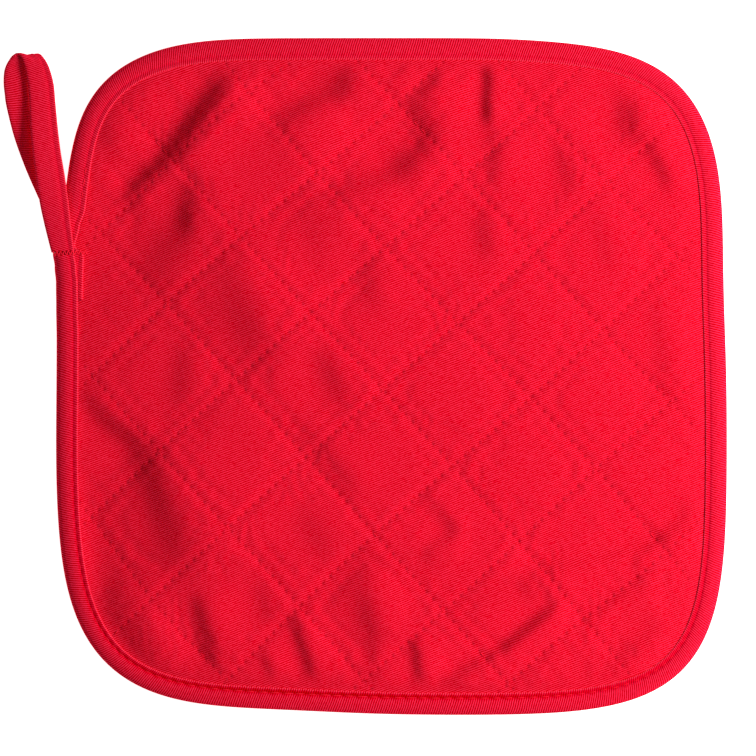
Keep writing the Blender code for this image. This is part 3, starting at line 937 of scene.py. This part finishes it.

# %% [markdown]
# ## A material written as formulas
# Dyed cotton hardly shines. What shows is the colour of its yarns, with painted shade in the gaps
# between them and a painted glint on their tips, and their relief. An image could hold both, but
# only at one size. So a small class adds what the three cottons share: places in millimetres, noise,
# a red between a painted-shade red and a painted-glint red, and a surface with no gloss whose bump
# is given in millimetres.

# %% What the cottons share


class Dye:
    """A material whose colour and relief are written as formulas."""

    def __init__(self, name):
        self.material = bpy.data.materials.new(name)
        self.material.use_nodes = True
        self.tree = self.material.node_tree
        self.surface = self.tree.nodes["Principled BSDF"]

    def node(self, kind, settings, *values, **named):
        made = add_node(self.tree, kind, settings, *values, **named)
        return Value(self.tree, made.outputs[0])

    def parts(self, vector, count, scale):
        """The first parts of a vector, each times a scale."""
        split = add_node(self.tree, "ShaderNodeSeparateXYZ", {}, vector)
        return [Value(self.tree, socket) * scale for socket in split.outputs[:count]]

    def place(self):
        """Object coordinates in millimetres, as three values."""
        coordinates = self.tree.nodes.new("ShaderNodeTexCoord").outputs["Object"]
        return self.parts(Value(self.tree, coordinates), 3, 1.0 / MM)

    def mapped(self, name):
        """The way and the distance kept in a UV map, in millimetres."""
        return self.parts(self.node("ShaderNodeUVMap", {"uv_map": name}), 2, 1.0 / MAP_SCALE)

    def vector(self, first, second, third=0.0):
        return self.node("ShaderNodeCombineXYZ", {}, first, second, third)

    def noise(self, vector, detail):
        return self.node("ShaderNodeTexNoise", {}, Vector=vector, Scale=1.0, Detail=detail)

    def mixed(self, factor, first, second):
        """A colour between two colours."""
        made = self.tree.nodes.new("ShaderNodeMix")
        made.data_type = "RGBA"
        sockets = {socket.identifier: socket for socket in [*made.inputs, *made.outputs]}
        for name, value in (("Factor_Float", factor), ("A_Color", first), ("B_Color", second)):
            give(self.tree, sockets[name], value)
        return Value(self.tree, sockets["Result_Color"])

    def red(self, bright, shade_end, glint_end):
        """A red from a painted-shade red to a painted-glint red. Its green and blue grow faster, a
        painted pink glint as on lit fibre tips.
        """
        steep = bright * bright
        shares = (bright, steep * steep * steep, steep)
        parts = [
            share * (high - low) + low for share, low, high in zip(shares, shade_end, glint_end)
        ]
        return self.node("ShaderNodeCombineColor", {"mode": "RGB"}, *parts)

    def finish(self, colour, height, roughness=0.8):
        """A surface with no gloss, from a colour and a relief in millimetres."""
        normal = self.node("ShaderNodeBump", {}, Height=height, Distance=MM, Strength=1.0)
        give(self.tree, self.surface.inputs["Base Color"], colour)
        give(self.tree, self.surface.inputs["Normal"], normal)
        self.surface.inputs["Roughness"].default_value = roughness
        self.surface.inputs["Specular IOR Level"].default_value = 0.0
        print(self.material.name, "nodes:", len(self.tree.nodes))
        return self.material


# %% [markdown]
# ## Twill
# Twill has fine ribs that rise to the right, 0.6 mm apart, each broken into short floats of
# yarn. The yarns could be woven as a mesh, but there are tens of thousands of them. The ribs
# follow the cloth's own grain, so object coordinates serve. The same wave gives both the height
# of a rib and its brightness: painted shade in the gaps between yarns and a painted glint on
# their tips. At each needle hole the cloth is drawn in, and painted shade darkens the dimple.

# %% Material of the pad's cloth
FULL_TURN = 2.0 * math.pi
TWILL_PITCH = 0.62
TWILL_RISE = math.radians(21.0)
TWILL_HEIGHT = 0.05
HOLE_DEPTH = 0.09
HOLE_REACH = 0.5
PUCKER_HEIGHT = 0.02
PUCKER_REACH = 0.9
# Ends of the cloth's red: painted shade in the gaps between yarns, painted glint on their tips.
CLOTH_GAP_SHADE_RED = (0.61, 0.0, 0.0)
CLOTH_GLINT_RED = (0.95, 0.027, 0.078)
# Painted shade in the needle-hole dimples.
HOLE_SHADE_RED = (0.3, 0.0, 0.002, 1.0)


def twill_cloth():
    dye = Dye("red_twill")
    x, y, z = dye.place()
    drift = dye.noise(dye.vector(x * 0.03, y * 0.03, z * 0.03), 2.0) * 1.4
    across = y * math.cos(TWILL_RISE) - x * math.sin(TWILL_RISE) + drift
    along = x * math.cos(TWILL_RISE) + y * math.sin(TWILL_RISE)
    rib = (across * (FULL_TURN / TWILL_PITCH)).cosine() * 0.5
    floats = dye.noise(dye.vector(along * 1.1, across * 2.2, z), 0.0) - 0.5
    slubs = dye.noise(dye.vector(x * 0.35, y * 0.35, z * 0.35), 1.0) - 0.5
    yarn = (rib * 1.7 + floats * 1.1 + 0.43).clamped()
    height = yarn * TWILL_HEIGHT
    # In the colour the yarn wave is painted shade and painted glint; the slubs are the yarn's own
    # uneven tone.
    shade = yarn + slubs * 0.08
    holes = None
    for name in ("falling", "rising"):
        way, gap = dye.mapped(name)
        turn = way * (FULL_TURN / STITCH)
        pulse = turn.cosine() * 0.5 + 0.5
        near_hole = pulse * pulse * pulse * gap.bell(HOLE_REACH)
        pucker = (1.0 - pulse) * gap.bell(PUCKER_REACH)
        height = height - near_hole * HOLE_DEPTH + pucker * PUCKER_HEIGHT
        holes = near_hole if holes is None else holes + near_hole
    colour = dye.red(shade.clamped(), CLOTH_GAP_SHADE_RED, CLOTH_GLINT_RED)
    # Painted shade darkens the cloth in each needle-hole dimple.
    colour = dye.mixed((holes * 0.25).clamped(), colour, HOLE_SHADE_RED)
    return dye.finish(colour, height)


cloth_material = twill_cloth()
pad.data.materials.append(cloth_material)

# %% [markdown]
# ## Ribbed tape
# The tape's ribs run across it, 0.7 mm apart and a little slanted. On object coordinates they
# would keep one direction, but they bend with the tape round the corners. So they read the tape's
# own UV map: the way along it and the distance from its fold. In the colour the ribs carry painted
# shade in their gaps and a painted glint on their tops, and a painted highlight lightens the
# selvage. Painted shade darkens the groove, and where the thread is drawn tight it darkens a band
# beside the deeper groove.

# %% Material of the tape
RIB_PITCH = 0.70
RIB_SLANT = math.tan(math.radians(17.0))
RIB_HEIGHT = 0.06
SELVAGE_HIGHLIGHT_REACH = 0.16
GROOVE_REACH = 0.35
GROOVE_DEPTH = 0.02
# Band of painted shade beside the groove, where the groove is deeper because the thread is drawn
# tight.
GROOVE_BAND_INSET = 5.85
GROOVE_BAND_SWAY = 0.4
GROOVE_BAND_REACH = 0.65
# Ends of the tape's red: painted shade between ribs, painted glint on their tops.
TAPE_GAP_SHADE_RED = (0.55, 0.0, 0.0)
TAPE_GLINT_RED = (0.95, 0.052, 0.1)


def ribbed_tape():
    dye = Dye("red_tape")
    way, inset = dye.mapped("tape")
    drift = dye.noise(dye.vector(way * 0.12, inset * 0.3), 1.0) * 0.5
    turn = (way + inset * RIB_SLANT + drift) * (FULL_TURN / RIB_PITCH)
    rib = turn.cosine() * 0.5
    uneven = dye.noise(dye.vector(way * 1.5, inset * 0.9), 2.0) - 0.5
    yarn = (rib * 1.5 + uneven * 1.3 + 0.5).clamped()
    # Painted highlight along the raised selvage.
    selvage_highlight = (inset - SELVAGE.inset).bell(SELVAGE_HIGHLIGHT_REACH)
    groove = (inset - GROOVE.inset).bell(GROOVE_REACH)
    tight = (way - TIGHT_WAY).bell(TIGHT_REACH)
    pulse = (way * (FULL_TURN / EDGE_STITCH)).cosine() * 0.5 + 0.5
    # Painted shade on the band beside the deeper groove along the bottom edge.
    groove_band_shade = (inset + pulse * GROOVE_BAND_SWAY - GROOVE_BAND_INSET).bell(GROOVE_BAND_REACH) * tight
    height = yarn * RIB_HEIGHT - pulse * pulse * groove * GROOVE_DEPTH
    # The colour holds painted shade in the groove and beside it, a painted highlight on the selvage,
    # and the ribs' painted shade and glint over the yarn's own uneven tone.
    shade = yarn * 0.8 + 0.1 + selvage_highlight * 0.3 - groove * 0.08 - groove_band_shade * 0.6
    colour = dye.red(shade.clamped(), TAPE_GAP_SHADE_RED, TAPE_GLINT_RED)
    return dye.finish(colour, height)


tape_material = ribbed_tape()
tape.data.materials.append(tape_material)
loop.data.materials.append(tape_material)

# %% [markdown]
# ## Sewing thread
# The thread is a smooth red cotton, a touch lighter than the cloth, twisted from two plies. The
# plies could be two more tubes, but they are finer than a pixel, so a slanting wave serves: it
# bumps the surface, and mixes two reds, the darker one painted shade between the plies.

# %% Material of the thread
TWIST_PITCH = 0.45
TWIST_HEIGHT = 0.02
THREAD_LIGHT = (0.9, 0.016, 0.045, 1.0)
# Painted shade in the grooves between the plies.
THREAD_PLY_SHADE_RED = (0.7, 0.006, 0.02, 1.0)


def sewing_thread():
    dye = Dye("red_thread")
    x, y, z = dye.place()
    twist = ((x + y + z * 2.0) * (FULL_TURN / TWIST_PITCH)).cosine() * 0.5 + 0.5
    colour = dye.mixed(twist, THREAD_PLY_SHADE_RED, THREAD_LIGHT)
    return dye.finish(colour, twist * TWIST_HEIGHT, roughness=0.6)


thread_material = sewing_thread()

# %% [markdown]
# ## Sewing the seams
# Each seam gets its stitches at even steps, as a machine sews them. Each end of a stitch is found
# on the pad's surface and set just under it, so that the thread rises from the cloth. The tree
# above turns the guide edges into thread.

# %% Sew pairs of ends


def sewn(name, pairs, radius, arch, sink):
    """A plain mesh of stitches, one for each pair of end points in millimetres."""
    ends = np.array(pairs).reshape(-1, 3)
    guide = bpy.data.meshes.new(name)
    edges = np.arange(len(ends)).reshape(-1, 2)
    guide.from_pydata((ends * MM).tolist(), edges.tolist(), [])
    made = bpy.data.objects.new(name, guide)
    bpy.context.scene.collection.objects.link(made)
    modifier = made.modifiers.new("stitches", "NODES")
    modifier.node_group = STITCHES
    given = {"Thread radius": radius * MM, "Arch": arch * MM, "Sink": sink * MM}
    given["Thread"] = thread_material
    for item in STITCHES.interface.items_tree:
        if item.name in given:
            modifier[item.identifier] = given[item.name]
    graph = bpy.context.evaluated_depsgraph_get()
    plain = bpy.data.meshes.new_from_object(made.evaluated_get(graph))
    made.modifiers.remove(modifier)
    made.data = plain
    print(name, "stitches:", len(edges), "faces:", len(plain.polygons))
    return made


# %% Stitches of the quilting seams
GAP_BETWEEN = 0.5
THREAD_SUNK = 0.05
CLEAR_OF_TAPE = 0.4


def height_on_pad(spots):
    """Height of the pad's face at any spots, between the four grid spots round each."""
    turned = spots - PAD_CENTRE
    bearing = np.arctan2(turned[:, 1], turned[:, 0])
    share = np.linalg.norm(turned, axis=1) / (outline_radius(bearing) - RIM_INSET)
    cosine, sine = np.cos(bearing), np.sin(bearing)
    longest = np.maximum(np.abs(cosine), np.abs(sine))
    column = (share * cosine / longest + 1.0) / 2.0 * fine_cells
    row = (share * sine / longest + 1.0) / 2.0 * fine_cells
    column = np.clip(column, 0, fine_cells - 1.001)
    row = np.clip(row, 0, fine_cells - 1.001)
    left, low = column.astype(int), row.astype(int)
    a, b = column - left, row - low
    near = pad_face[low, left] * (1 - a) + pad_face[low, left + 1] * a
    far = pad_face[low + 1, left] * (1 - a) + pad_face[low + 1, left + 1] * a
    return near * (1 - b) + far * b


def seam_stitches(seam):
    """Pairs of ends of the stitches along a seam, where it isn't under the tape."""
    length = math.hypot(seam.end_x - seam.start_x, seam.end_y - seam.start_y)
    holes = np.arange(-4.0 * STITCH, length + 4.0 * STITCH, STITCH)
    half = (STITCH - GAP_BETWEEN) / 2.0
    middles = holes + STITCH / 2.0
    sides = [seam_places(seam, middles + move) for move in (-half, half)]
    clear = np.min([inset_of(flat) for flat in sides], axis=0) > TAPE_WIDTH + CLEAR_OF_TAPE
    lowered = (
        np.column_stack([flat, height_on_pad(flat) - THREAD_SUNK])[clear] for flat in sides
    )
    return list(zip(*lowered))


pad_pairs = [pair for seam in FALLING_SEAMS + RISING_SEAMS for pair in seam_stitches(seam)]
pad_thread = sewn("quilting_thread", pad_pairs, radius=0.13, arch=0.0, sink=0.2)

# %% [markdown]
# ## Sewing the tape
# The tape is sewn through with longer stitches, in the groove near its inner edge. They are
# placed by the way gone, so that each one lies in its own dip of the groove.

# %% Stitches of the tape
FIRST_STITCH = 1.5
LAST_LEFT = 1.0
HALF_GAP = 0.35
EDGE_THREAD_SUNK = 0.26


def tape_stitches():
    pairs = []
    ways = np.arange(FIRST_STITCH, EDGE_LENGTH - LAST_LEFT, EDGE_STITCH)
    for way, (_, high, out) in zip(ways, tape_levels(ways)):
        ends = np.array([way + HALF_GAP, way + EDGE_STITCH - HALF_GAP])
        place, _, inwards = edge_place(ends)
        flat = place + inwards * (GROOVE.inset - out)
        pairs.append([(*spot, high - EDGE_THREAD_SUNK) for spot in flat])
    return pairs


tape_thread = sewn("tape_thread", tape_stitches(), radius=0.16, arch=0.05, sink=0.25)

# %% [markdown]
# ## The join
# At the join a short, dense row of zigzag stitches holds the loop, the tape's end and its
# beginning together. A small ribbed patch could stand for it, but the same tree sews it as real
# thread, from a guide that goes to and fro. The row is level over the tape, and slopes down to
# the pad.

# %% Zigzag stitches of the join
JOIN_START = (-93.1, 36.5)
JOIN_END = (-83.4, 37.1)
JOIN_TOP = 7.9
JOIN_DROP = 2.6
JOIN_LEVEL_SHARE = 0.55


def zigzag(start, end, pitch, half, height):
    """Stitches to and fro across a line between two spots."""
    start, end = np.array(start), np.array(end)
    run = end - start
    length = np.linalg.norm(run)
    side = np.array((-run[1], run[0])) / length
    count = int(length / pitch)
    spots = [
        (*(start + run * number / count + side * half * (-1) ** number), height(number / count))
        for number in range(count + 1)
    ]
    return list(zip(spots, spots[1:]))


def join_height(share):
    """Height of the row by the share of its length: level over the tape, then down."""
    return JOIN_TOP - JOIN_DROP * max(0.0, (share - JOIN_LEVEL_SHARE) / (1.0 - JOIN_LEVEL_SHARE))


join_pairs = zigzag(JOIN_START, JOIN_END, pitch=0.55, half=0.6, height=join_height)
join_thread = sewn("join_thread", join_pairs, radius=0.18, arch=0.08, sink=0.1)

# %% [markdown]
# ## Camera
# The pot holder lies flat, and the photo looks straight down on it. An orthographic camera would
# show no side of the tape at all, so a long lens stands straight above, as on a copy stand.

# %% Camera
PHOTO_WIDTH = 226.8 * MM
CAMERA_AT = (3.6 * MM, -0.45 * MM)
LENS = 100.0
SENSOR = 36.0
lens = bpy.data.cameras.new("camera")
lens.lens, lens.sensor_width = LENS, SENSOR
camera = bpy.data.objects.new("camera", lens)
camera.location = (*CAMERA_AT, PHOTO_WIDTH * LENS / SENSOR + RIM_MIDDLE * MM)
bpy.context.scene.collection.objects.link(camera)
bpy.context.scene.camera = camera
print("camera height in mm:", round(camera.location.z / MM))

# %% [markdown]
# ## Light
# Creases show only in light that grazes them. Several lamps would wash them out, so one soft lamp
# stands low on the right. A weak sky fills the shadows. It is a little pink, as light is that red
# cloth has thrown back.

# %% Lamp and sky
KEY_AT = Vector((0.66, 0.04, 0.41))
KEY_SIZE = 0.28
KEY_WATTS = 9.5
SKY = {"Color": (1.0, 0.84, 0.87, 1.0), "Strength": 0.26}
lamp = bpy.data.lights.new("key_light", "AREA")
lamp.shape, lamp.size, lamp.energy = "SQUARE", KEY_SIZE, KEY_WATTS
key = bpy.data.objects.new("key_light", lamp)
key.location = KEY_AT
key.rotation_euler = (-KEY_AT).to_track_quat("-Z", "Y").to_euler()
bpy.context.scene.collection.objects.link(key)
world = bpy.data.worlds.new("studio")
bpy.context.scene.world = world
world.use_nodes = True
for name, value in SKY.items():
    world.node_tree.nodes["Background"].inputs[name].default_value = value
bpy.context.scene.view_settings.view_transform = "Standard"
print("lamp's angle over the table in degrees:", round(90 - math.degrees(key.rotation_euler.x)))

# %% [markdown]
# ## Floor
# The pot holder lies on plain white. A floor lit by the lamp alone would turn grey away from it,
# so most of this floor's white is its own glow.

# %% Floor
FLOOR_HALF = 3.0
FLOOR_DROP = 0.0003
FLOOR_PAINT = {
    "Base Color": (0.95, 0.95, 0.95, 1.0),
    "Roughness": 0.9,
    "Emission Color": (1.0, 1.0, 1.0, 1.0),
    "Emission Strength": 0.92,
}
signs = ((-1, -1), (1, -1), (1, 1), (-1, 1))
floor_mesh = bpy.data.meshes.new("floor")
floor_corners = [(FLOOR_HALF * x, FLOOR_HALF * y, -FLOOR_DROP) for x, y in signs]
floor_mesh.from_pydata(floor_corners, [], [(0, 1, 2, 3)])
floor = bpy.data.objects.new("floor", floor_mesh)
bpy.context.scene.collection.objects.link(floor)
paint = Dye("white_floor")
for name, value in FLOOR_PAINT.items():
    paint.surface.inputs[name].default_value = value
floor_mesh.materials.append(paint.material)
print("floor in metres across:", 2 * FLOOR_HALF)

# %% [markdown]
# ## Pieces and their parts
# Each piece is put under the root body, and the CAD part that it stands for is hidden; the
# threads go under the root body too. The pad is filled, and the tape and the loop are one tape
# that could be laid out flat.

# %% Pieces and their parts
for piece, node in ((pad, "quilted_pad"), (tape, "edge_binding"), (loop, "hanging_loop")):
    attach(piece, "root")
    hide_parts(node)
for piece in (pad_thread, tape_thread, join_thread):
    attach(piece, "root")
